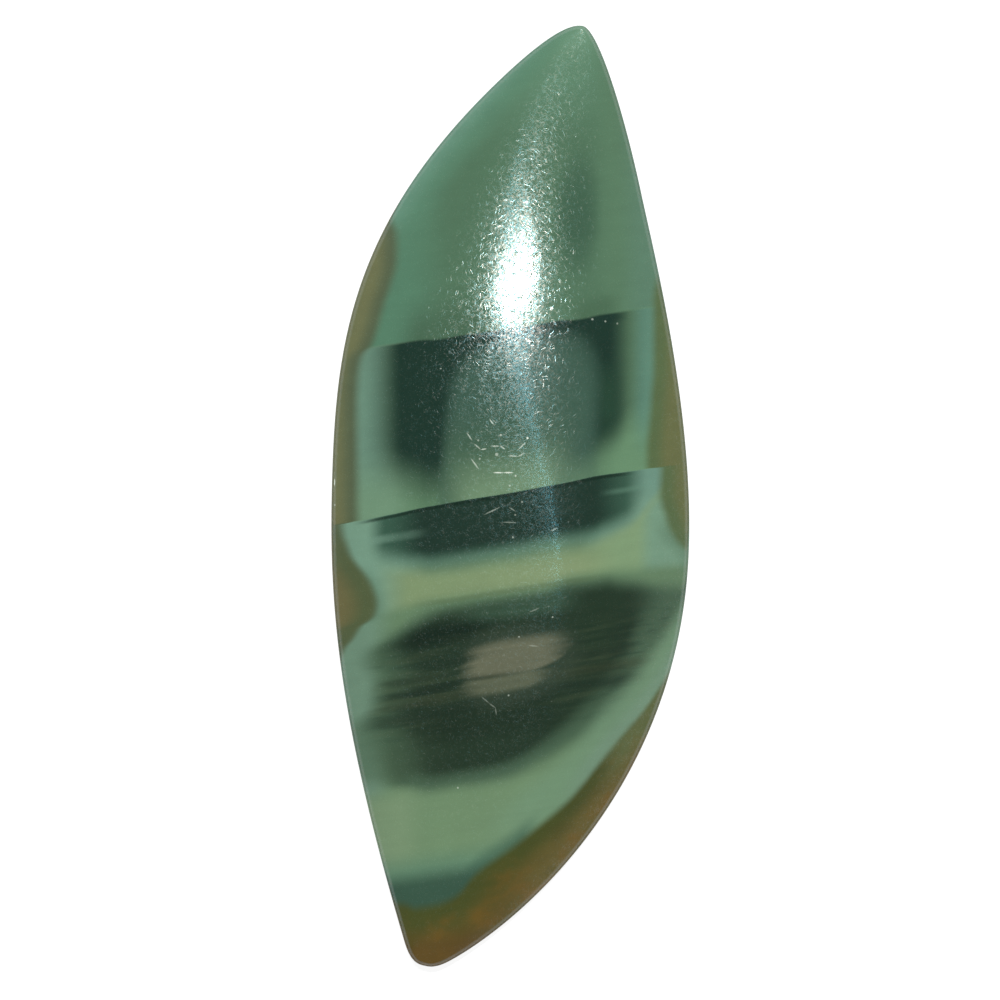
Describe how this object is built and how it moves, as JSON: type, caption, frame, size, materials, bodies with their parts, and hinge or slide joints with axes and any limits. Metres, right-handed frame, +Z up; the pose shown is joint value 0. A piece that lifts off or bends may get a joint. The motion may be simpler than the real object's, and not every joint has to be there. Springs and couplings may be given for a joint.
{
  "type": "polished imperial jasper cabochon",
  "caption": "Slim, S-curved leaf of banded green jasper, cut as a freeform cabochon with a glossy domed face, a low girdle wall and a flat back to set or glue.",
  "frame": {"origin": "on the flat back, under the middle of the stone's box", "axes": "+Y lengthwise from the foot to the tip, +Z up from the flat back to the dome, +X to the right as seen from above with the tip at the top"},
  "size_m": [0.0178, 0.045, 0.0044],
  "materials": {
    "polished_jasper": "glassy polish with fine scratches over mid green jasper with darker and yellower bands and an olive brown rim; satin flat back"
  },
  "bodies": {
    "root": {"stone": "polished_jasper"}
  },
  "joints": []
}
